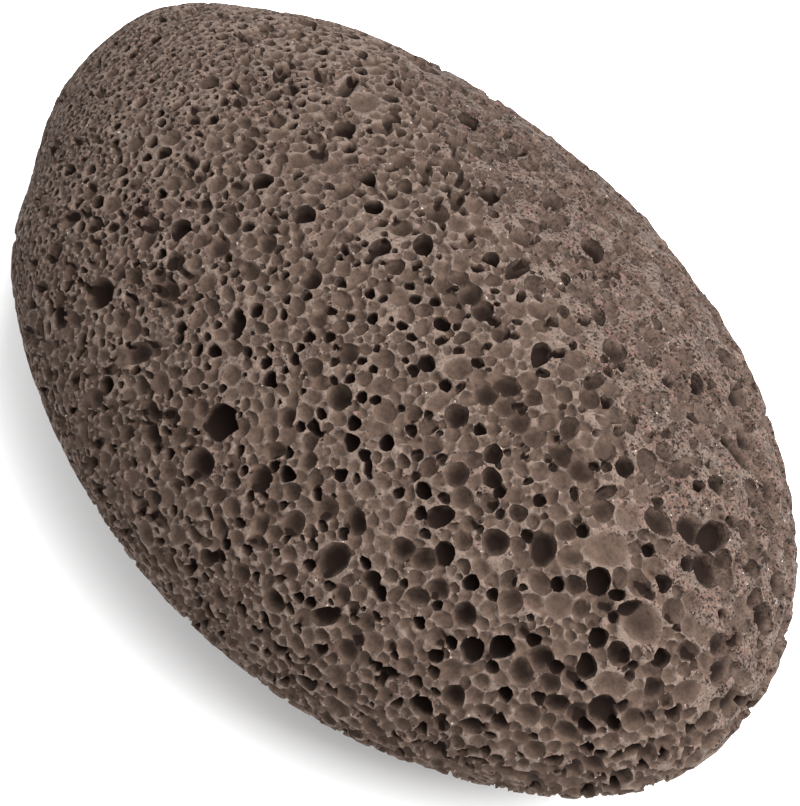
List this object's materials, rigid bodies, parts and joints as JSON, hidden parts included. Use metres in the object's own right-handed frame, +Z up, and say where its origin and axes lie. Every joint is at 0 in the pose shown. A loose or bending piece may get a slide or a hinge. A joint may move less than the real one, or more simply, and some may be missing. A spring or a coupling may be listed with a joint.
{
  "type": "pumice stone",
  "caption": "Tumbled egg-shaped pumice stone, full of open gas-bubble pits, with one worn flat to lie on, for rubbing down hard skin.",
  "frame": {"origin": "bottom centre of the stone's box, on its resting flat", "axes": "+X along the stone's length, +Y across its width, +Z up through its thickness"},
  "size_m": [0.1004, 0.0634, 0.043],
  "materials": {
    "stone": "rough and matt"
  },
  "bodies": {
    "root": {"pumice_stone": "stone"}
  },
  "joints": []
}
